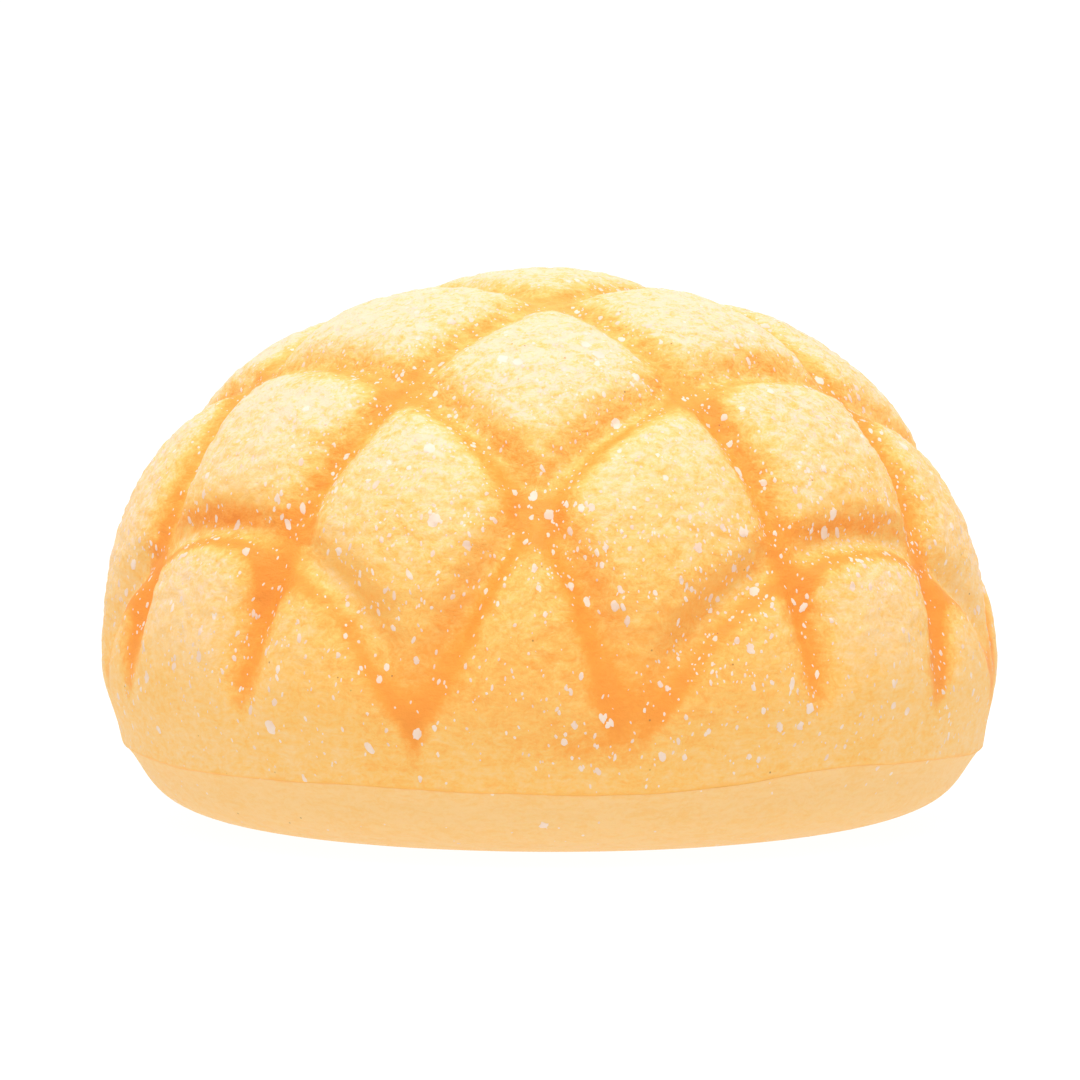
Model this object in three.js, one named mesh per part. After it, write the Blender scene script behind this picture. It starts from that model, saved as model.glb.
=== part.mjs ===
// Toy melon pan bun: one soft foam moulding in the shape of the sweet bun, with a
// domed crust scored in a diamond lattice over a smooth pale base.
// Millimetres, +Z up, the front towards -Y. The origin is the middle of the
// box round the bun, on the flat underside.
import * as THREE from 'three';

// Driving dimensions
const bunRadius = 60.8;
const bunHeight = 74.3;
const footRadius = 30; // flat part of the underside
const crustEdgeRadius = 58; // lower edge of the crust
const crustEdgeHeight = 10.3;
const crustEdgeStep = 0.3; // how far the crust stands out over the base there
const bellyHeight = 23.5; // level where the bun is widest
const swayAcross = 0.6; // the moulding leans a little to one side and back
const swayWave = 96; // height of one full wave of that lean
const grooveDepth = 3.5;
const grooveHalfWidth = 3.1; // steep part of a groove's side
const shoulderHalfWidth = 7.5; // gentle part, which makes each panel a pillow
const shoulderShare = 0.28; // part of the depth that the gentle slope takes
const lumpHeight = 0.22; // soft unevenness of the crust
const meshStep = 2.34; // length of a facet's side on the crust
const baseMeshStep = 4; // the same on the smooth base

// Curve handles of the meridian, as distances from the points named above
const footCurve = { out: 26.1, edgeIn: 4.5, edgeDown: 4.8 };
const wallCurve = { edgeOut: 1, edgeUp: 6.2, bellyDown: 5.8 };
const domeCurve = { bellyUp: 26.7, topOut: 36.4 };

// The scored lines. Each is a steep cut that shows as a line in plan: the heading
// of its plan normal, its distance from the axis at half height, how far it leans
// over that height, how far its ends bow, and how far its foot and head curl aside.
const halfHeight = 39.5;
const scoredLines = [
  { heading: 42, offset: -56.1, lean: -6.6, bow: -0.8, curl: 4.5 },
  { heading: 40, offset: -35.1, lean: -4.8, bow: 0.7, curl: 0.8 },
  { heading: 41, offset: -9.2, lean: -2.4, bow: 1.4, curl: -1.5 },
  { heading: 45, offset: 13.6, lean: 5, bow: 2.7, curl: -5.1 },
  { heading: 44, offset: 40, lean: 6, bow: 0, curl: 0 },
  { heading: 135, offset: -56.1, lean: -8.4, bow: -0.5, curl: 4.9 },
  { heading: 133.1, offset: -37.3, lean: -6.9, bow: 0.8, curl: 6.8 },
  { heading: 138.5, offset: -5.9, lean: -7.4, bow: 1.6, curl: -0.9 },
  { heading: 139, offset: 24.4, lean: -4.1, bow: -1.5, curl: 1.8 },
  { heading: 139, offset: 47, lean: 4, bow: 0, curl: 0 },
];
const steepestCut = 0.3; // keeps a groove narrow where its cut grazes the wall

// Where the grooves run out above the base, and how much the top one softens
const grooveEnd = { low: 12.5, high: 33.5, sideLift: 2.5 };
const lipEnd = 20.5; // level where the edge's step has died away
const topSoftening = { from: 51.5, to: 71.5, loss: 0.25 };

// Waves of the crust's lower edge, as heights, counts round the bun and a heading
const edgeWaves = [
  { height: 0.45, count: 3 },
  { height: 0.35, count: 5 },
];
const edgeWaveHeading = THREE.MathUtils.degToRad(-38);
const edgeWaveReach = 6;
const edgeRise = {
  height: 1.1,
  heading: THREE.MathUtils.degToRad(-55),
  halfWidth: THREE.MathUtils.degToRad(13),
};

// Soft lumps: wave vectors in radians per millimetre, and phases
const lumpWaves = [
  { x: 0.52, y: 0.31, z: 0.44, phase: 0.3 },
  { x: -0.43, y: 0.56, z: 0.25, phase: 1.9 },
  { x: 0.22, y: -0.48, z: 0.62, phase: 4.1 },
  { x: 0.71, y: 0.12, z: -0.35, phase: 2.6 },
  { x: -0.15, y: 0.78, z: 0.51, phase: 5.2 },
];

const smooth = THREE.MathUtils.smoothstep;

// The three arcs of the outline, from the foot up to the top.
function meridianArcs() {
  const foot = new THREE.Vector2(footRadius, 0);
  const edge = new THREE.Vector2(crustEdgeRadius, crustEdgeHeight);
  const belly = new THREE.Vector2(bunRadius, bellyHeight);
  const top = new THREE.Vector2(0, bunHeight);
  const under = new THREE.CubicBezierCurve(
    foot,
    new THREE.Vector2(footRadius + footCurve.out, 0),
    new THREE.Vector2(crustEdgeRadius - footCurve.edgeIn, crustEdgeHeight - footCurve.edgeDown),
    edge,
  );
  const wall = new THREE.CubicBezierCurve(
    edge,
    new THREE.Vector2(crustEdgeRadius + wallCurve.edgeOut, crustEdgeHeight + wallCurve.edgeUp),
    new THREE.Vector2(bunRadius, bellyHeight - wallCurve.bellyDown),
    belly,
  );
  const dome = new THREE.CubicBezierCurve(
    belly,
    new THREE.Vector2(bunRadius, bellyHeight + domeCurve.bellyUp),
    new THREE.Vector2(domeCurve.topOut, bunHeight),
    top,
  );
  return { under, wall, dome };
}

// Points of one arc at even spacing, each with its outward direction.
function arcStations(arc, step, onCrust) {
  const count = Math.round(arc.getLength() / step);
  const stations = [];
  for (let i = 0; i <= count; i++) {
    const point = arc.getPointAt(i / count);
    const along = arc.getTangentAt(i / count);
    stations.push({
      radius: point.x,
      height: point.y,
      out: along.y,
      up: -along.x,
      step,
      onCrust,
    });
  }
  return stations;
}

// How deep the lattice is at a point, from 0 on a panel to 1 on a groove's floor.
function grooveShare(point, normal) {
  let panel = 1;
  for (const { heading, offset, lean, bow, curl } of scoredLines) {
    const angle = THREE.MathUtils.degToRad(heading);
    const nx = Math.cos(angle);
    const ny = Math.sin(angle);
    const along = (nx * point.y - ny * point.x) / bunRadius;
    const up = (point.z - halfHeight) / halfHeight;
    const cut = offset + lean * up + curl * up ** 2 + bow * along ** 2;
    const gap = nx * point.x + ny * point.y - cut;
    const bend = (2 * bow * along) / bunRadius;
    const fall = (lean + 2 * curl * up) / halfHeight;
    const slope = new THREE.Vector3(nx + bend * ny, ny - bend * nx, -fall);
    const across = slope.addScaledVector(normal, -slope.dot(normal)).length();
    const distance = Math.abs(gap) / Math.max(across, steepestCut);
    const side = Math.exp(-((distance / grooveHalfWidth) ** 2));
    const shoulder = Math.exp(-((distance / shoulderHalfWidth) ** 2));
    panel *= 1 - (1 - shoulderShare) * side - shoulderShare * shoulder;
  }
  return 1 - panel;
}

// How far the crust stands out from the plain outline at a point.
function crustRelief(point, normal) {
  const sideways = (point.x / bunRadius) ** 2 * grooveEnd.sideLift;
  const fade = smooth(point.z, grooveEnd.low + sideways, grooveEnd.high + sideways);
  const softened = 1 - topSoftening.loss * smooth(point.z, topSoftening.from, topSoftening.to);
  const lumps = lumpWaves.reduce(
    (sum, w) => sum + Math.sin(w.x * point.x + w.y * point.y + w.z * point.z + w.phase),
    0,
  );
  const lumpShare = lumps / lumpWaves.length;
  return lumpHeight * lumpShare * fade - grooveDepth * fade * softened * grooveShare(point, normal);
}

// A station of the outline turned to an angle round the axis, with its relief.
function surfacePoint(station, angle) {
  const sway = -swayAcross * Math.sin((2 * Math.PI * (station.height - bellyHeight)) / swayWave);
  const cos = Math.cos(angle);
  const sin = Math.sin(angle);
  const point = new THREE.Vector3(station.radius * cos + sway, station.radius * sin, station.height);
  const normal = new THREE.Vector3(station.out * cos, station.out * sin, station.up);
  const toEdge = (station.height - crustEdgeHeight) / edgeWaveReach;
  const turned = (Math.cos(angle - edgeRise.heading) - 1) / (1 - Math.cos(edgeRise.halfWidth));
  const wave = edgeWaves.reduce(
    (sum, w) => sum + w.height * Math.cos(w.count * (angle - edgeWaveHeading)),
    edgeRise.height * Math.exp(turned),
  );
  if (station.height > 0) point.z += wave * Math.exp(-(toEdge ** 2));
  if (station.onCrust) {
    const lip = crustEdgeStep * (1 - smooth(station.height, crustEdgeHeight, lipEnd));
    point.addScaledVector(normal, lip + crustRelief(point, normal));
  }
  return point;
}

// Rings of points from the foot to the top, each with as many as its girth needs.
function surfaceRings() {
  const { under, wall, dome } = meridianArcs();
  const stations = [
    ...arcStations(under, baseMeshStep, false),
    ...arcStations(wall, meshStep, true),
    ...arcStations(dome, meshStep, true).slice(1, -1),
  ];
  return stations.map((station) => {
    const count = Math.max(6, Math.round((2 * Math.PI * station.radius) / station.step));
    return Array.from({ length: count }, (_, i) => surfacePoint(station, (2 * Math.PI * i) / count));
  });
}

// A band of triangles between two rings that may have different counts.
function bandFaces(lower, upper) {
  const faces = [];
  let a = 0;
  let b = 0;
  while (a < lower.length || b < upper.length) {
    const lowerNext = (a + 1) / lower.length;
    const upperNext = (b + 1) / upper.length;
    const a0 = lower[a % lower.length];
    const b0 = upper[b % upper.length];
    if (b === upper.length || (a < lower.length && lowerNext <= upperNext)) {
      faces.push(a0, lower[(a + 1) % lower.length], b0);
      a += 1;
    } else {
      faces.push(a0, upper[(b + 1) % upper.length], b0);
      b += 1;
    }
  }
  return faces;
}

// The closed solid: the rings, a flat fan under the foot and a cap at the top.
function bunGeometry() {
  const rings = surfaceRings();
  const points = rings.flat();
  let start = 0;
  const numbered = rings.map((ring) => {
    const numbers = ring.map((_, i) => start + i);
    start += ring.length;
    return numbers;
  });
  const footCentre = points.length;
  points.push(new THREE.Vector3(0, 0, 0));
  const topCentre = points.length;
  points.push(surfacePoint({ radius: 0, height: bunHeight, out: 0, up: 1, onCrust: true }, 0));
  const faces = [];
  for (let i = 0; i + 1 < numbered.length; i++) faces.push(...bandFaces(numbered[i], numbered[i + 1]));
  const foot = numbered[0];
  foot.forEach((number, i) => faces.push(footCentre, foot[(i + 1) % foot.length], number));
  const cap = numbered[numbered.length - 1];
  cap.forEach((number, i) => faces.push(topCentre, number, cap[(i + 1) % cap.length]));
  const geometry = new THREE.BufferGeometry().setFromPoints(points);
  geometry.setIndex(faces);
  geometry.computeBoundingBox();
  const middle = geometry.boundingBox.getCenter(new THREE.Vector3());
  geometry.translate(-middle.x, -middle.y, -geometry.boundingBox.min.z);
  geometry.computeVertexNormals();
  return geometry;
}

const bun = new THREE.Mesh(
  bunGeometry(),
  new THREE.MeshStandardMaterial({ color: 0xf9cf7e, roughness: 0.75, metalness: 0 }),
);
bun.name = 'bun';

const model = new THREE.Group();
model.add(bun);

export default model;
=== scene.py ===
# Toy melon pan bun: the looks of one foam moulding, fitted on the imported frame.
# Metres, +Z up, the front towards -Y.
from math import cos, exp, pi, radians, sin

import bpy
import numpy as np
from mathutils import Matrix, Vector


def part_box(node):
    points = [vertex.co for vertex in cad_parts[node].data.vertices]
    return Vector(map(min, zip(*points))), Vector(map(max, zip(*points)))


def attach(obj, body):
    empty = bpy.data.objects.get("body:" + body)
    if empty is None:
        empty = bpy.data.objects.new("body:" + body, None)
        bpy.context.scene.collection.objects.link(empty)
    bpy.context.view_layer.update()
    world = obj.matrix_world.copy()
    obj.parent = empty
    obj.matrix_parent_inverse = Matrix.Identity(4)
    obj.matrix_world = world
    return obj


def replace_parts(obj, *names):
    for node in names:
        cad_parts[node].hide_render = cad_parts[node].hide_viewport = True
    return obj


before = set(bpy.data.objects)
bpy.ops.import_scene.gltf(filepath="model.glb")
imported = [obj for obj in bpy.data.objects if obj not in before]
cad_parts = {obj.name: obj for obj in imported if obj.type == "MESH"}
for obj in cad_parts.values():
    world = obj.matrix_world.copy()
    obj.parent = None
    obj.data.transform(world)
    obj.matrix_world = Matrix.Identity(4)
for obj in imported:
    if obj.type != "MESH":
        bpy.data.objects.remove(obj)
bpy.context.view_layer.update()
bunLow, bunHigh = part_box("bun")
mm = 0.001
print("frame loaded: bun", [round(side, 4) for side in bunHigh - bunLow])


# Node trees

class Wire:  # one socket of a node tree, so that a sum of nodes reads as a sum
    def __init__(self, tree, socket=None):
        self.tree = tree
        self.socket = socket

    def node(self, kind, settings=None, values=None):
        made = self.tree.nodes.new(kind)
        for name, value in (settings or {}).items():
            if name == "stops":
                fillRamp(made.color_ramp, value)
            else:
                setattr(made, name, value)
        for name, value in (values or {}).items():
            target = made.inputs[name] if isinstance(name, int) else openSocket(made.inputs, name)
            if isinstance(value, Wire):
                self.tree.links.new(value.socket, target)
            else:
                target.default_value = value
        first = openSocket(made.outputs) if len(made.outputs) else None
        return Wire(self.tree, first)

    def out(self, name):  # another output of the same node
        return Wire(self.tree, openSocket(self.socket.node.outputs, name))

    def maths(self, operation, *terms):
        return self.node("ShaderNodeMath", {"operation": operation}, dict(enumerate(terms)))

    def __add__(self, other):
        return self.maths("ADD", self, other)

    def __radd__(self, other):
        return self.maths("ADD", other, self)

    def __sub__(self, other):
        return self.maths("SUBTRACT", self, other)

    def __rsub__(self, other):
        return self.maths("SUBTRACT", other, self)

    def __mul__(self, other):
        return self.maths("MULTIPLY", self, other)

    def __rmul__(self, other):
        return self.maths("MULTIPLY", other, self)

    def __truediv__(self, other):
        return self.maths("DIVIDE", self, other)

    def __rtruediv__(self, other):
        return self.maths("DIVIDE", other, self)

    def __neg__(self):
        return self.maths("MULTIPLY", self, -1)

    def __abs__(self):
        return self.maths("ABSOLUTE", self)

    def squared(self):
        return self.maths("MULTIPLY", self, self)

    def bell(self, halfWidth):  # 1 at zero, falling away on both sides
        return self.maths("EXPONENT", -(self / halfWidth).squared())

    def ramp(self, low, high, start=0, end=1):  # a smooth step from start to end
        values = {"Value": self, "From Min": low, "From Max": high, "To Min": start, "To Max": end}
        return self.node("ShaderNodeMapRange", {"interpolation_type": "SMOOTHSTEP"}, values)

    def vector(self, operation, *terms):
        return self.node("ShaderNodeVectorMath", {"operation": operation}, dict(enumerate(terms)))

    def blend(self, other, share):  # this colour, mixed towards another by a share
        values = {"Factor": share, "A": self, "B": other}
        return self.node("ShaderNodeMix", {"data_type": "RGBA"}, values)


def openSocket(sockets, name=None):
    return next(s for s in sockets if s.enabled and (name is None or s.name == name))


def fillRamp(ramp, stops):
    while len(ramp.elements) < len(stops):
        ramp.elements.new(1)
    for element, (place, colour) in zip(ramp.elements, stops):
        element.position = place
        element.color = (*colour, 1)


def parts(wire):
    split = wire.node("ShaderNodeSeparateXYZ", values={"Vector": wire})
    return split.out("X"), split.out("Y"), split.out("Z")


def noise(place, size, detail=2.0, roughness=0.5, stretch=(1, 1, 1), shift=0.0):
    # size is the breadth of one lump, in metres; stretch squeezes it along an axis
    scaled = place.vector("MULTIPLY", place, stretch)
    moved = place.vector("ADD", scaled, (shift, shift * 0.7, -shift * 0.4))
    values = {"Vector": moved, "Scale": 1 / size, "Detail": detail, "Roughness": roughness}
    return place.node("ShaderNodeTexNoise", values=values)


def newTree(name, inputs):
    tree = bpy.data.node_groups.new(name, "GeometryNodeTree")
    face = tree.interface
    face.new_socket("Geometry", in_out="INPUT", socket_type="NodeSocketGeometry")
    for label, value in inputs.items():
        kind = "NodeSocketInt" if isinstance(value, int) else "NodeSocketFloat"
        face.new_socket(label, in_out="INPUT", socket_type=kind).default_value = value
    face.new_socket("Geometry", in_out="OUTPUT", socket_type="NodeSocketGeometry")
    start = Wire(tree).node("NodeGroupInput")
    return tree, start


def endTree(wire, material):
    painted = wire.node("GeometryNodeSetMaterial", values={"Geometry": wire, "Material": material})
    wire.node("NodeGroupOutput", values={"Geometry": painted})


def named(wire, name, kind="FLOAT"):
    return wire.node("GeometryNodeInputNamedAttribute", {"data_type": kind}, {"Name": name})


def stored(wire, name, value):
    values = {"Geometry": wire, "Name": name, "Value": value}
    kind = {"data_type": "FLOAT", "domain": "POINT"}
    return wire.node("GeometryNodeStoreNamedAttribute", kind, values)


def scaled(arrow, length):
    values = {"Vector": arrow, "Scale": length}
    return arrow.node("ShaderNodeVectorMath", {"operation": "SCALE"}, values)


def grow(name, source, tree, settings, rounded=True):
    # puts a tree on a copy of a mesh and keeps the result as a plain mesh
    maker = bpy.data.objects.new(name + "Maker", source)
    bpy.context.scene.collection.objects.link(maker)
    modifier = maker.modifiers.new("grow", "NODES")
    modifier.node_group = tree
    for item in tree.interface.items_tree:
        if item.in_out == "INPUT" and item.name in settings:
            modifier[item.identifier] = settings[item.name]
    graph = bpy.context.evaluated_depsgraph_get()
    mesh = bpy.data.meshes.new_from_object(maker.evaluated_get(graph), depsgraph=graph)
    bpy.data.objects.remove(maker)
    mesh.name = name
    piece = bpy.data.objects.new(name, mesh)
    bpy.context.scene.collection.objects.link(piece)
    mesh.shade_smooth() if rounded else mesh.shade_flat()
    print(name, "has", sum(len(p.vertices) - 2 for p in mesh.polygons), "triangles")
    return piece


# The outline of the moulding, turned round the axis

outline = {
    "radius": 60.8 * mm,
    "height": 74.3 * mm,
    "footRadius": 30 * mm,
    "edgeRadius": 58.0 * mm,
    "edgeHeight": 10.3 * mm,
    "bellyHeight": 23.5 * mm,
    "sway": 0.6 * mm,
    "swayWave": 96 * mm,
    "footCurve": (26.1 * mm, 4.5 * mm, 4.8 * mm),  # out from the foot, in and down from the edge
    "wallCurve": (1 * mm, 6.2 * mm, 5.8 * mm),  # out and up from the edge, down from the belly
    "domeCurve": (26.7 * mm, 36.4 * mm),  # up from the belly, out from the top
}

crustEdge = {
    "step": 0.28 * mm,  # how far the crust stands out over the base
    "overhang": 0.1 * mm,
    "lipRound": 0.3 * mm,
    "taper": 10.5 * mm,  # height over which the lip dies away
    "crevice": 0.05 * mm,
    "creviceReach": 0.7 * mm,
    "waves": ((0.45 * mm, 3), (0.35 * mm, 5)),
    "waveHeading": radians(-38),
    "rise": (1.1 * mm, radians(-55), radians(13)),  # height, heading and half width
    "waveReach": 6 * mm,
    "ripple": 0.12 * mm,
    "ripples": ((1.0, 9, 1.3), (0.8, 17, 4.0), (0.6, 31, 2.2)),  # share, count round the bun, phase
    "thickness": (0.75, 0.35),  # mean and swing of the lip's thickness, as shares of the step
    "footFade": 3 * mm,  # the edge's waves have died away below this height
}

meshSteps = {
    "crust": 0.565 * mm,
    "base": 1.0 * mm,
    "roundBase": 0.8 * mm,
    "edge": 0.16 * mm,
    "edgeReach": 1.1 * mm,
}


def bezier(a, b, c, d, samples=400):
    t = np.linspace(0, 1, samples)[:, None]
    a, b, c, d = (np.array(p) for p in (a, b, c, d))
    return a * (1 - t) ** 3 + 3 * b * t * (1 - t) ** 2 + 3 * c * t * t * (1 - t) + d * t ** 3


def meridianArcs():
    o = outline
    foot, edge = (o["footRadius"], 0), (o["edgeRadius"], o["edgeHeight"])
    belly, top = (o["radius"], o["bellyHeight"]), (0, o["height"])
    footOut, edgeIn, edgeDown = o["footCurve"]
    edgeOut, edgeUp, bellyDown = o["wallCurve"]
    bellyUp, topOut = o["domeCurve"]
    under = bezier(foot, (foot[0] + footOut, 0), (edge[0] - edgeIn, edge[1] - edgeDown), edge)
    wall = bezier(edge, (edge[0] + edgeOut, edge[1] + edgeUp), (belly[0], belly[1] - bellyDown), belly)
    dome = bezier(belly, (belly[0], belly[1] + bellyUp), (topOut, top[1]), top)
    return under, np.concatenate([wall, dome[1:]])


def alongArc(arc, places):
    # points and outward directions at given lengths along an arc
    run = np.concatenate([[0], np.cumsum(np.hypot(*np.diff(arc, axis=0).T))])
    slope = np.gradient(arc, run, axis=0)
    at = [np.interp(places, run, column) for column in (*arc.T, *slope.T)]
    length = np.hypot(at[2], at[3])
    return at[0], at[1], at[3] / length, -at[2] / length


def arcLength(arc):
    return float(np.hypot(*np.diff(arc, axis=0).T).sum())


def stations():
    # one row for each ring: radius, height, outward r and z, distance from the edge, on crust, step
    under, upper = meridianArcs()
    fine, reach = meshSteps["edge"], meshSteps["edgeReach"]
    rows = []
    total = arcLength(under)
    places = np.linspace(0, total - reach, round((total - reach) / meshSteps["base"]) + 1)
    places = np.concatenate([places, np.arange(total - reach + fine, total - fine / 2, fine), [total]])
    for r, z, out, up, place in zip(*alongArc(under, places), places):
        rows.append((r, z, out, up, place - total, 0.0, meshSteps["roundBase"]))
    total = arcLength(upper)
    places = np.concatenate([
        np.arange(0, reach, fine),
        np.linspace(reach, total, round((total - reach) / meshSteps["crust"]) + 1)[:-1],
    ])
    for r, z, out, up, place in zip(*alongArc(upper, places), places):
        rows.append((r, z, out, up, place, 1.0, meshSteps["crust"]))
    return rows


def smoothStep(value, low, high):
    t = min(max((value - low) / (high - low), 0), 1)
    return t * t * (3 - 2 * t)


def edgeRipple(angle):  # small unevenness of the crust's edge, from -1 to 1
    ripples = crustEdge["ripples"]
    height = sum(share * sin(count * angle + phase) for share, count, phase in ripples)
    return height / sum(share for share, _, _ in ripples)


def ringPoint(station, angle):
    r, z, out, up, fromEdge, crust, _ = station
    e = crustEdge
    sway = -outline["sway"] * sin(2 * pi * (z - outline["bellyHeight"]) / outline["swayWave"])
    wave = sum(size * cos(count * (angle - e["waveHeading"])) for size, count in e["waves"])
    height, heading, halfWidth = e["rise"]
    wave += height * exp((cos(angle - heading) - 1) / (1 - cos(halfWidth)))
    wave *= exp(-((z - outline["edgeHeight"]) / e["waveReach"]) ** 2) * smoothStep(z, 0, e["footFade"])
    wave += e["ripple"] * edgeRipple(angle) * exp(-(fromEdge / (3 * e["lipRound"])) ** 2)
    mean, swing = e["thickness"]
    thick = e["step"] * (mean + swing * sin(2 * angle + 0.6) * cos(5 * angle))
    if crust:
        rise = 1 - (1 - min(fromEdge / e["lipRound"], 1)) ** 2
        lift = thick * (0.35 + 0.65 * rise ** 0.5) * (1 - smoothStep(fromEdge, 0, e["taper"]))
        drop = e["overhang"] * (1 - rise)
    else:
        lift = -e["crevice"] * exp(-(fromEdge / e["creviceReach"]) ** 2)
        drop = 0
    r, z = r + out * lift + up * drop, z + up * lift - out * drop + wave
    return (r * cos(angle) + sway, r * sin(angle), z)


def band(lower, upper):
    # triangles between two rings that may have different counts
    faces, a, b = [], 0, 0
    while a < len(lower) or b < len(upper):
        nextLower, nextUpper = (a + 1) / len(lower), (b + 1) / len(upper)
        a0, b0 = lower[a % len(lower)], upper[b % len(upper)]
        if b == len(upper) or (a < len(lower) and nextLower <= nextUpper):
            faces.append((a0, lower[(a + 1) % len(lower)], b0))
            a += 1
        else:
            faces.append((a0, upper[(b + 1) % len(upper)], b0))
            b += 1
    return faces


def plainForm():
    # the moulding without its lattice, with what the lattice tree needs as attributes
    points, outward, crusts, fromEdges, rings, faces = [], [], [], [], [], []
    for station in stations():
        r, z, out, up, fromEdge, crust, step = station
        count = max(6, round(2 * pi * r / step))
        rings.append(range(len(points), len(points) + count))
        for i in range(count):
            angle = 2 * pi * i / count
            points.append(ringPoint(station, angle))
            outward.append((out * cos(angle), out * sin(angle), up))
            crusts.append(crust)
            fromEdges.append(fromEdge)
    for lower, upper in zip(rings, rings[1:]):
        faces += band(lower, upper)
    footCentre, topCentre = len(points), len(points) + 1
    points += [(0, 0, 0), (0, 0, outline["height"])]
    outward += [(0, 0, -1), (0, 0, 1)]
    crusts += [0.0, 1.0]
    fromEdges += [-1.0, 1.0]
    faces += [(footCentre, rings[0][(i + 1) % len(rings[0])], rings[0][i]) for i in range(len(rings[0]))]
    last = rings[-1]
    faces += [(topCentre, last[i], last[(i + 1) % len(last)]) for i in range(len(last))]
    form = bpy.data.meshes.new("plainForm")
    form.from_pydata(points, [], faces)
    for name, kind, key, values in (
        ("outward", "FLOAT_VECTOR", "vector", np.array(outward).ravel()),
        ("crust", "FLOAT", "value", np.array(crusts)),
        ("fromEdge", "FLOAT", "value", np.array(fromEdges)),
    ):
        form.attributes.new(name, kind, "POINT").data.foreach_set(key, values)
    return form


# The scored lattice and the crinkles of the crust

# Each scored line is a steep cut: the heading of its plan normal in degrees, then in mm its
# distance from the axis at half height, how far it leans over that height, how far its ends
# bow, and how far its foot and head curl aside.
scoredLines = (
    {"heading": 42.0, "offset": -56.1, "lean": -6.6, "bow": -0.8, "curl": 4.5},
    {"heading": 40.0, "offset": -35.1, "lean": -4.8, "bow": 0.7, "curl": 0.8},
    {"heading": 41.0, "offset": -9.2, "lean": -2.4, "bow": 1.4, "curl": -1.5},
    {"heading": 45.0, "offset": 13.6, "lean": 5.0, "bow": 2.7, "curl": -5.1},
    {"heading": 44.0, "offset": 40.0, "lean": 6.0, "bow": 0.0, "curl": 0.0},
    {"heading": 135.0, "offset": -56.1, "lean": -8.4, "bow": -0.5, "curl": 4.9},
    {"heading": 133.1, "offset": -37.3, "lean": -6.9, "bow": 0.8, "curl": 6.8},
    {"heading": 138.5, "offset": -5.9, "lean": -7.4, "bow": 1.6, "curl": -0.9},
    {"heading": 139.0, "offset": 24.4, "lean": -4.1, "bow": -1.5, "curl": 1.8},
    {"heading": 139.0, "offset": 47.0, "lean": 4.0, "bow": 0.0, "curl": 0.0},
)

lattice = {
    "Groove Depth": 3.5 * mm,
    "Groove Half Width": 2.9 * mm,
    "Shoulder Half Width": 7.5 * mm,
    "Shoulder Share": 0.28,
    "Steepest Cut": 0.3,
    "Spray Core Half Width": 2.3 * mm,
    "Spray Haze Half Width": 5.1 * mm,
    "Wobble": 0.6 * mm,
    "Lump Height": 0.55 * mm,
    "Crease Depth": 0.24 * mm,
    "Crinkle Height": 0.2 * mm,
}
halfHeight = 39.5 * mm
grooveEnd = {"low": 12.5 * mm, "high": 33.5 * mm, "sideLift": 2.5 * mm}
topSoftening = {"from": 51.5 * mm, "to": 71.5 * mm, "loss": 0.25}
smoothBelt = {"low": 16 * mm, "high": 34 * mm}  # the crust is smoother below
sprayEnd = {"low": 10.5 * mm, "high": 24 * mm, "loss": 1.9}  # crossing lines keep theirs the lowest
sprayShares = {"core": 0.62, "haze": 0.37}
crustGrain = {"wobble": 14 * mm, "lumps": 9 * mm, "mounds": 4.2 * mm, "folds": 2.4 * mm}  # breadths


def latticeDepth(x, y, z, normal, sizes, wobble):
    # the relief, 0 on a panel and 1 on a groove's floor, and the spray, which adds up where lines cross
    nx, ny, nz = normal
    panel, spray = 1, 0
    up = (z - halfHeight) / halfHeight
    for line in scoredLines:
        angle = radians(line["heading"])
        c, s = cos(angle), sin(angle)
        offset, lean, bow, curl = (line[name] * mm for name in ("offset", "lean", "bow", "curl"))
        along = (c * y - s * x) / outline["radius"]
        cut = offset + up * lean + up.squared() * curl + along.squared() * bow
        gap = abs(c * x + s * y - cut + wobble)
        bend = along * (2 * bow / outline["radius"])
        fall = (lean + up * (2 * curl)) / halfHeight
        gx, gy = c + bend * s, s - bend * c
        dot = gx * nx + gy * ny - fall * nz
        across = x.maths("SQRT", gx.squared() + gy.squared() + fall.squared() - dot.squared())
        distance = gap / x.maths("MAXIMUM", across, sizes.out("Steepest Cut"))
        share = sizes.out("Shoulder Share")
        side = distance.bell(sizes.out("Groove Half Width"))
        shoulder = distance.bell(sizes.out("Shoulder Half Width"))
        panel = (1 - (1 - share) * side - share * shoulder) * panel
        core = distance.bell(sizes.out("Spray Core Half Width"))
        haze = distance.bell(sizes.out("Spray Haze Half Width"))
        spray = sprayShares["core"] * core + sprayShares["haze"] * haze + spray
    return 1 - panel, spray


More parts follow.
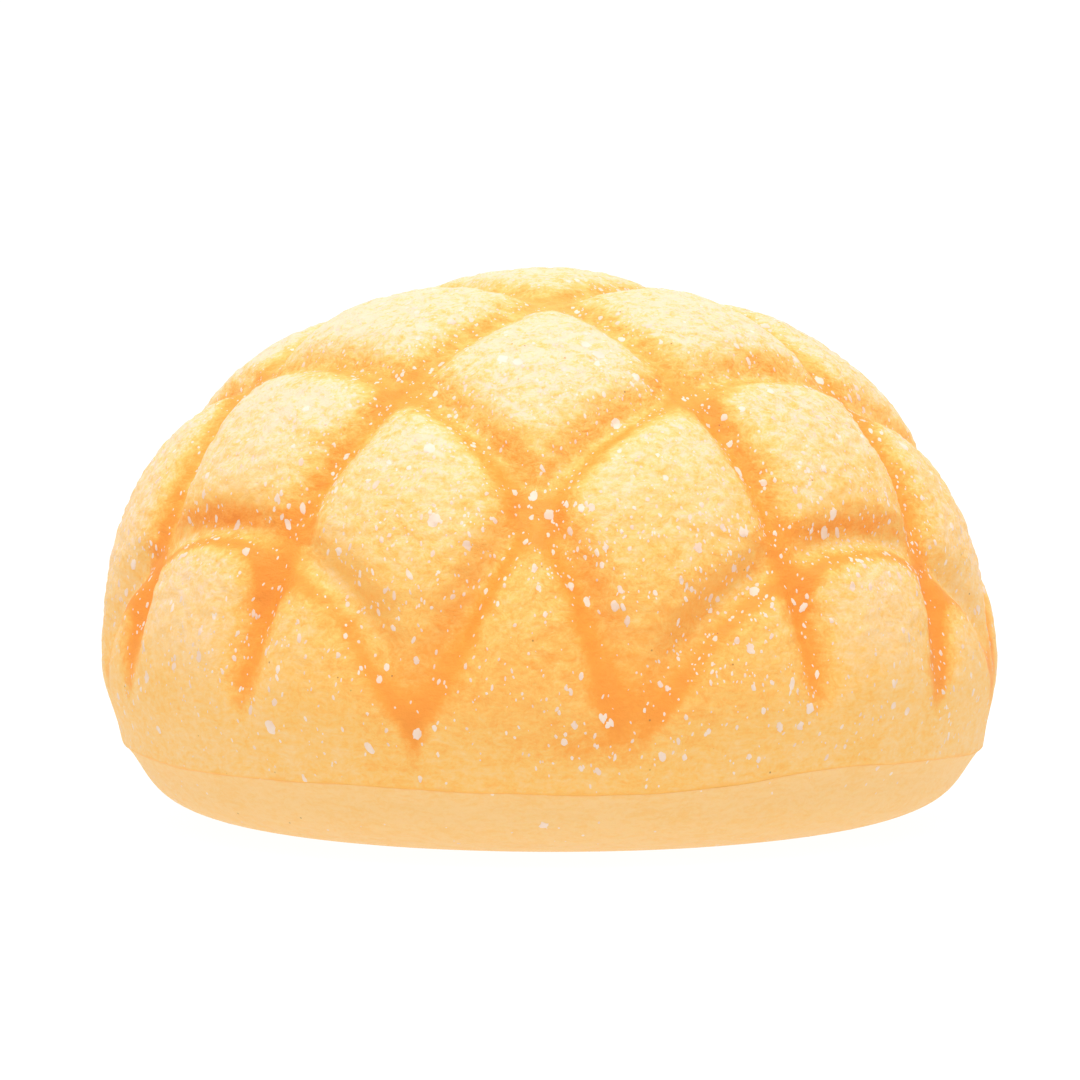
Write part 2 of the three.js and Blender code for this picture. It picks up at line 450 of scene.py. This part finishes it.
def latticeTree(material):
    tree, sizes = newTree("scoredCrust", lattice)
    place = sizes.node("GeometryNodeInputPosition")
    x, y, z = parts(place)
    outward = named(sizes, "outward", "FLOAT_VECTOR")
    crust = named(sizes, "crust")
    sideways = (x / outline["radius"]).squared() * grooveEnd["sideLift"]
    fade = (z - sideways).ramp(grooveEnd["low"], grooveEnd["high"]) * crust
    softened = 1 - topSoftening["loss"] * z.ramp(topSoftening["from"], topSoftening["to"])
    grain = crustGrain
    wobble = (noise(place, grain["wobble"], 1, shift=3.1) - 0.5) * sizes.out("Wobble") * 2
    groove, spray = latticeDepth(x, y, z, parts(outward), sizes, wobble)
    rough = z.ramp(smoothBelt["low"], smoothBelt["high"], 0.2, 1) * crust
    lumps = (noise(place, grain["lumps"], 2, 0.5, (1, 1, 1.3), 1.7) - 0.5) * sizes.out("Lump Height")
    # mounds with creases between them: a noise folded on itself
    mounds = abs(noise(place, grain["mounds"], 2, 0.5, (1, 1, 1.6), 7.3) - 0.5).ramp(0, 0.13)
    folds = noise(place, grain["folds"], 3, 0.55, (1, 1, 1.8), 4.9) - 0.5
    crinkle = (mounds - 0.7) * sizes.out("Crease Depth") + folds * 2 * sizes.out("Crinkle Height")
    relief = lumps + crinkle * (1 - 0.5 * groove)
    relief = relief * rough - sizes.out("Groove Depth") * fade * softened * groove
    offset = scaled(outward, relief)
    carved = place.node("GeometryNodeSetPosition", values={
        "Geometry": sizes.out("Geometry"), "Offset": offset,
    })
    # tilt, how far the carved surface turns up or down, is kept for the paint, which uses it for painted
    # shade on down-facing sides
    _, _, plainUp = parts(outward)
    _, _, carvedUp = parts(sizes.node("GeometryNodeInputNormal"))
    sprayed = (spray - z.ramp(sprayEnd["low"], sprayEnd["high"], sprayEnd["loss"], 0)) * crust
    sprayed = sprayed.maths("MAXIMUM", sprayed, 0)
    for name, value in (("spray", sprayed), ("mound", mounds * rough), ("tilt", carvedUp - plainUp)):
        carved = stored(carved, name, value)
    endTree(carved.node("GeometryNodeRealizeInstances", values={"Geometry": carved}), material)
    return tree


# Materials

foamPaint = {
    # colours of the crust by how much paint it took: bare, thin, golden, orange and deep
    "stops": (
        (0.0, (0.95, 0.67, 0.45)), (0.22, (0.95, 0.63, 0.29)), (0.52, (0.97, 0.54, 0.135)),
        (0.87, (0.97, 0.365, 0.053)), (1.0, (0.92, 0.315, 0.042)),
    ),
    "deepest": 1.15,  # amount of paint that takes the last of these
    "topLoss": (48 * mm, 70 * mm, 1, 0.72),  # the spray grows thinner towards the top
    "midLoss": (34 * mm, 48 * mm, 1.04, 0.94),
    "washAndPaintedLight": (26 * mm, 66 * mm, 0.64, 0.02),  # a thin coat all over, less of it higher up, so the top is paler: partly the real coat, partly a painted highlight of the top light
    "beltLoss": (12 * mm, 24 * mm, 0.16, 0),
    "under": (30 * mm, 56 * mm, 0.11, 0.44),  # more orange on groove sides that face down: painted shade of the light from above, partly the airbrush's own spray
    "frontOnly": (-30 * mm, -15 * mm, 1, 0),  # the smears end towards the sides
    # soft smears of orange on the front: x, z, half width, half height, share
    "smears": (
        (-16.4 * mm, 18.5 * mm, 5 * mm, 6 * mm, 0.15),
        (10.8 * mm, 21 * mm, 6.2 * mm, 6.5 * mm, 0.5),
        (3.5 * mm, 15.8 * mm, 7 * mm, 2.6 * mm, 0.5),
        (-2 * mm, 27 * mm, 6 * mm, 5 * mm, 0.16),
        (-41 * mm, 42.3 * mm, 9 * mm, 2.4 * mm, 0.55),
        (38 * mm, 41.5 * mm, 8 * mm, 2.2 * mm, 0.45),
        (50 * mm, 26 * mm, 1.8 * mm, 9 * mm, 0.35),
        (-29 * mm, 61 * mm, 7 * mm, 1.8 * mm, 0.4),
        (33 * mm, 62.5 * mm, 9 * mm, 2 * mm, 0.35),
    ),
    "base": (0.92, 0.585, 0.24, 1),
    "baseShade": (0.92, 0.53, 0.165, 1),
    "line": (0.96, 0.46, 0.09, 1),
    "speck": (0.35, 0.16, 0.05, 1),
    "speckSpacing": 4 * mm,
    "bumpHeight": 0.26 * mm,
    "roughness": 0.6,
}


def surfaceAttribute(start, name):
    return start.node("ShaderNodeAttribute", {"attribute_name": name}).out("Fac")


def flatColour(start, value):
    colour = start.node("ShaderNodeRGB")
    colour.socket.default_value = value
    return colour


def emptyMaterial(name):
    material = bpy.data.materials.new(name)
    material.use_nodes = True
    material.node_tree.nodes.clear()
    return material, Wire(material.node_tree)


def finishMaterial(start, shader):
    start.node("ShaderNodeOutputMaterial", values={"Surface": shader})


def makeFoamPaint():
    material, start = emptyMaterial("foamPaint")
    p = foamPaint
    place = start.node("ShaderNodeTexCoord").out("Object")
    x, y, z = parts(place)
    spray, mound, tilt, crust, fromEdge = (
        surfaceAttribute(start, name) for name in ("spray", "mound", "tilt", "crust", "fromEdge")
    )
    broad = noise(place, 10 * mm, 3, 0.6, shift=2.3) - 0.5
    # wrinkles: fine noise on ground that wanders a little
    wander = place.vector("SUBTRACT", noise(place, 5 * mm, 2, shift=6.1).out("Color"), (0.5, 0.5, 0.5))
    astray = place.vector("MULTIPLY_ADD", wander, (3 * mm, 3 * mm, 2 * mm), place)
    wrinkle = noise(astray, 1.5 * mm, 4, 0.68, (1, 1, 1.35), 5.1) - 0.5
    fine = noise(astray, 0.55 * mm, 3, 0.7, (1, 1, 1.2), 1.4) - 0.5
    dry = z.ramp(18 * mm, 44 * mm, 0.45, 1) + z.ramp(46 * mm, 64 * mm, 0, 0.6)
    streaks = noise(astray, 1.2 * mm, 4, 0.68, (0.6, 0.6, 2.0), 3.3) - 0.5
    front = y.ramp(*p["frontOnly"])
    smears = sum((x - cx).bell(w) * (z - cz).bell(h) * share for cx, cz, w, h, share in p["smears"])
    painted = spray + smears * front + broad * 0.6 + wrinkle * 0.7 + fine * 0.5
    painted = painted.ramp(-0.06, 1.3, 0, p["deepest"])
    painted = painted * z.ramp(*p["midLoss"]) * z.ramp(*p["topLoss"])
    # besides the real thin coat and its mottling, this carries painted light: a paler top and paler sides
    washAndPaintedLight = z.ramp(*p["washAndPaintedLight"]) - z.ramp(*p["beltLoss"]) + broad * 0.25
    # painted light: paler at both sides below the middle, where the sides take more light, and paler on
    # the left above it
    paintedSideLight = abs(x).ramp(16 * mm, 46 * mm, 0, 0.36) * z.ramp(34 * mm, 50 * mm, 1, 0)
    washAndPaintedLight = washAndPaintedLight - paintedSideLight * z.ramp(14 * mm, 30 * mm, 0.3, 1)
    washAndPaintedLight = washAndPaintedLight - x.ramp(-40 * mm, 0, 0.1, 0) * z.ramp(34 * mm, 46 * mm)
    # under is how far the surface faces down; below, it paints the top light's shade as more orange and
    # less mottling on down-facing groove sides
    under = abs(tilt) - tilt
    washAndPaintedLight = washAndPaintedLight + (wrinkle * 1.2 + fine) * dry * (1 - under * 0.75)
    washAndPaintedLight = washAndPaintedLight + streaks * z.ramp(18 * mm, 34 * mm, 0.6, 0)
    amount = painted + washAndPaintedLight * (1 - painted) + under * z.ramp(*p["under"])
    # more paint where mound is low, as in the creases between mounds: painted crease shade
    amount = (amount + (1 - mound) * 0.08) / p["deepest"]
    crustColour = start.node("ShaderNodeValToRGB", {"stops": p["stops"]}, {0: amount})
    baseTone = (streaks + broad * 0.5 + fine * 0.6).ramp(-0.2, 0.28)
    baseColour = flatColour(start, p["base"]).blend(p["baseShade"], baseTone)
    # a thin darker line under the crust's edge, wider here and there
    uneven = noise(place, 5 * mm, 3, 0.6, shift=9.9)
    line = fromEdge.bell(uneven.ramp(0.45, 0.72, 0.16 * mm, 0.5 * mm)) * uneven.ramp(0.25, 0.5, 0.45, 1)
    colour = baseColour.blend(crustColour, crust).blend(p["line"], line * 0.8)
    cells = start.node("ShaderNodeTexVoronoi", values={"Vector": place, "Scale": 1 / p["speckSpacing"]})
    pits = cells.out("Distance")
    colour = colour.blend(p["speck"], pits.ramp(0.02, 0.045, 0.7, 0))
    bump = start.node("ShaderNodeBump", values={
        "Strength": 1.0, "Distance": p["bumpHeight"],
        "Height": (wrinkle + fine * 0.3) * dry + streaks * 0.25,
    })
    shader = start.node("ShaderNodeBsdfPrincipled", values={
        "Base Color": colour, "Roughness": p["roughness"], "Normal": bump,
        "Subsurface Weight": 0.1, "Subsurface Radius": (1.0, 0.45, 0.15), "Subsurface Scale": 1.0 * mm,
        "Specular IOR Level": 0.3,
    })
    finishMaterial(start, shader)
    return material


whitePaint = {"colour": (0.84, 0.60, 0.45, 1), "bright": (0.90, 0.72, 0.58, 1), "roughness": 0.6}


def makeWhitePaint():
    material, start = emptyMaterial("whitePaint")
    place = start.node("ShaderNodeTexCoord").out("Object")
    tone = noise(place, 3 * mm, 2, 0.5)
    colour = flatColour(start, whitePaint["colour"]).blend(whitePaint["bright"], tone.ramp(0.35, 0.65))
    shader = start.node("ShaderNodeBsdfPrincipled", values={
        "Base Color": colour, "Roughness": whitePaint["roughness"], "Specular IOR Level": 0.35,
    })
    finishMaterial(start, shader)
    return material


# Flecks of white paint

fleckSorts = {
    "fineFlecks": {"Count Per Square Metre": 420000.0, "Size": 0.15 * mm, "Spread": 0.3, "Stretch": 1.2,
                   "Thickness": 0.03 * mm, "Ragged": 0.25 * mm, "Facets": 1, "Seed": 11},
    "drops": {"Count Per Square Metre": 62000.0, "Size": 0.31 * mm, "Spread": 0.22, "Stretch": 1.0,
              "Thickness": 0.045 * mm, "Ragged": 0.6 * mm, "Facets": 2, "Seed": 23},
    "blots": {"Count Per Square Metre": 10000.0, "Size": 0.52 * mm, "Spread": 0.26, "Stretch": 0.6,
              "Thickness": 0.06 * mm, "Ragged": 1.0 * mm, "Facets": 3, "Seed": 37},
}
fleckZone = {"bare": 9 * mm, "thin": 14 * mm, "full": 34 * mm}  # heights where they begin and thicken
fleckPatches = 12 * mm


def randomValue(wire, low, high, seed, kind="FLOAT"):
    values = {"Min": low, "Max": high, "Seed": seed}
    return wire.node("FunctionNodeRandomValue", {"data_type": kind}, values)


def fleckTree(material):
    tree, sizes = newTree("paintFlecks", fleckSorts["drops"])
    crustMesh = sizes.out("Geometry")
    place = sizes.node("GeometryNodeInputPosition")
    x, y, z = parts(place)
    patches = noise(place, fleckPatches, 2, 0.6, shift=6.6).ramp(0.3, 0.68, 0.25, 1.5)
    zone = z.ramp(fleckZone["bare"], fleckZone["thin"], 0.05, 0.4)
    zone = zone + z.ramp(fleckZone["thin"], fleckZone["full"], 0, 0.6)
    scattered = sizes.node(
        "GeometryNodeDistributePointsOnFaces",
        {"distribute_method": "RANDOM"},
        {"Mesh": crustMesh, "Density": zone * patches * sizes.out("Count Per Square Metre"),
         "Seed": sizes.out("Seed")},
    )
    seed = sizes.out("Seed")
    # three random numbers in a row make a bell, so sizes spread as those of spatter do
    grade = sum((randomValue(sizes, -1.0, 1.0, seed + i) for i in (11, 12, 13)), 0.0)
    size = sizes.out("Size") * sizes.maths("EXPONENT", grade * sizes.out("Spread"))
    _, _, up = parts(scattered.out("Normal"))
    steep = 1 - abs(up)
    long = 1 + randomValue(sizes, 0.0, 1.0, seed + 2) * steep * sizes.out("Stretch")
    width = size * randomValue(sizes, 0.75, 1.0, seed + 3)
    # each fleck lies on the surface with its length down the slope, give or take
    lying = sizes.node(
        "FunctionNodeAlignRotationToVector", {"axis": "Z"}, {"Vector": scattered.out("Normal")},
    )
    downhill = sizes.node(
        "FunctionNodeAlignRotationToVector", {"axis": "Y", "pivot_axis": "Z"},
        {"Rotation": lying, "Vector": (0, 0, 1)},
    )
    turn = sizes.node("ShaderNodeCombineXYZ", values={"Z": randomValue(sizes, -0.6, 0.6, seed + 4)})
    twist = sizes.node("FunctionNodeEulerToRotation", values={"Euler": turn})
    rotation = sizes.node("FunctionNodeRotateRotation", {"rotation_space": "LOCAL"},
                          {"Rotation": downhill, "Rotate By": twist})
    thickness = sizes.out("Thickness")
    shape = sizes.node("ShaderNodeCombineXYZ", values={"X": width, "Y": size * long, "Z": thickness})
    facets = sizes.out("Facets")
    ball = sizes.node("GeometryNodeMeshIcoSphere", values={"Radius": 1.0, "Subdivisions": facets})
    _, _, ballHeight = parts(sizes.node("GeometryNodeInputPosition"))
    marked = stored(ball, "lift", ballHeight)
    placed = sizes.node("GeometryNodeInstanceOnPoints", values={
        "Points": scattered, "Instance": marked, "Rotation": rotation, "Scale": shape,
    })
    real = placed.node("GeometryNodeRealizeInstances", values={"Geometry": placed})
    # the outline of each fleck is made uneven, then it is draped on the surface
    ragged = noise(place, 0.5 * mm, 3, 0.6, shift=4.4).out("Color")
    shove = sizes.vector("SUBTRACT", ragged, (0.5, 0.5, 0.5))
    push = scaled(shove, sizes.out("Ragged"))
    bent = sizes.node("GeometryNodeSetPosition", values={"Geometry": real, "Offset": push})
    ground = sizes.node("GeometryNodeProximity", {"target_element": "FACES"}, {"Geometry": crustMesh})
    normal = sizes.node(
        "GeometryNodeSampleNearestSurface", {"data_type": "FLOAT_VECTOR"},
        {"Mesh": crustMesh, "Value": sizes.node("GeometryNodeInputNormal"), "Sample Position": place},
    )
    lift = scaled(normal, named(sizes, "lift") * thickness)
    draped = sizes.node("GeometryNodeSetPosition", values={
        "Geometry": bent, "Position": sizes.vector("ADD", ground.out("Position"), lift),
    })
    endTree(draped, material)
    return tree


# Studio: a pale floor, soft light, and the camera where the photograph was taken from

studio = {
    "sweepWidth": 8.0,
    "sweepFront": -3.0,
    "sweepBack": 1.6,
    "sweepBend": 0.8,  # radius between the floor and the wall
    "sweepHeight": 3.0,
    "sweepColour": (0.12, 0.12, 0.12, 1),
    "sweepGlow": 0.94,  # keeps the sweep an even white
    "skyStrength": 0.70,
    "keySize": 0.9,
    "keyPlace": (-0.03, -0.3, 1.3),
    "keyPower": 13.5,
}

view = {
    "distance": 0.675,
    "elevation": radians(4),
    "pixelsPerMetre": 7391,  # at the bun's axis, in a picture of 1080 pixels
    "pictureSide": 1080,
    "aim": (-1.29 * mm, 0, 37.45 * mm),
    "sensor": 36,
}


def makeStudio():
    s = studio
    bends = [pi / 2 * i / 24 for i in range(25)]
    profile = [(s["sweepFront"], 0)]
    profile += [(s["sweepBack"] + s["sweepBend"] * sin(a), s["sweepBend"] * (1 - cos(a))) for a in bends]
    profile.append((s["sweepBack"] + s["sweepBend"], s["sweepHeight"]))
    half = s["sweepWidth"] / 2
    points = [(x, y, z) for y, z in profile for x in (-half, half)]
    faces = [(2 * i, 2 * i + 1, 2 * i + 3, 2 * i + 2) for i in range(len(profile) - 1)]
    sheet = bpy.data.meshes.new("sweep")
    sheet.from_pydata(points, [], faces)
    sheet.shade_smooth()
    sweep = bpy.data.objects.new("sweep", sheet)
    bpy.context.scene.collection.objects.link(sweep)
    material, start = emptyMaterial("paleSweep")
    shader = start.node("ShaderNodeBsdfPrincipled", values={
        "Base Color": s["sweepColour"], "Roughness": 0.9, "Specular IOR Level": 0.1,
        "Emission Color": (1, 1, 1, 1), "Emission Strength": s["sweepGlow"],
    })
    finishMaterial(start, shader)
    sheet.materials.append(material)
    world = bpy.data.worlds.new("paleSky")
    world.use_nodes = True
    background = world.node_tree.nodes["Background"]
    background.inputs["Color"].default_value = (1, 1, 1, 1)
    background.inputs["Strength"].default_value = studio["skyStrength"]
    bpy.context.scene.world = world
    lamp = bpy.data.lights.new("keyLight", "AREA")
    lamp.size = studio["keySize"]
    lamp.energy = studio["keyPower"]
    key = bpy.data.objects.new("keyLight", lamp)
    key.location = studio["keyPlace"]
    key.rotation_euler = (Vector((0, 0, 0.03)) - key.location).to_track_quat("-Z", "Y").to_euler()
    bpy.context.scene.collection.objects.link(key)


def makeCamera():
    lens = bpy.data.cameras.new("camera")
    lens.sensor_width = view["sensor"]
    lens.lens = view["pixelsPerMetre"] * view["distance"] / view["pictureSide"] * view["sensor"]
    lens.clip_start = 0.01
    camera = bpy.data.objects.new("camera", lens)
    aim = Vector(view["aim"])
    camera.location = aim + view["distance"] * Vector((0, -cos(view["elevation"]), sin(view["elevation"])))
    camera.rotation_euler = (pi / 2 - view["elevation"], 0, 0)
    bpy.context.scene.collection.objects.link(camera)
    bpy.context.scene.camera = camera


def centreOnFrame(mesh):
    # the moulding's box is centred on the axis, as the frame's is
    flat = np.empty(len(mesh.vertices) * 3)
    mesh.vertices.foreach_get("co", flat)
    points = flat.reshape(-1, 3)
    shift = (bunLow + bunHigh) / 2 - Vector((points.min(0) + points.max(0)) / 2)
    mesh.transform(Matrix.Translation((shift.x, shift.y, 0)))
    print("skin moved by", [round(side / mm, 2) for side in shift], "mm")


makeCamera()
makeStudio()
print("camera and studio placed")

form = plainForm()
foam = makeFoamPaint()
skin = grow("bunSkin", form, latticeTree(foam), lattice)
centreOnFrame(skin.data)
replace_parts(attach(skin, "root"), "bun")

white = makeWhitePaint()
flecks = fleckTree(white)
for name, settings in fleckSorts.items():
    piece = grow(name, skin.data, flecks, settings, rounded=False)
    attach(piece, "root")
print("flecks scattered")

bpy.context.scene.view_settings.view_transform = "Standard"
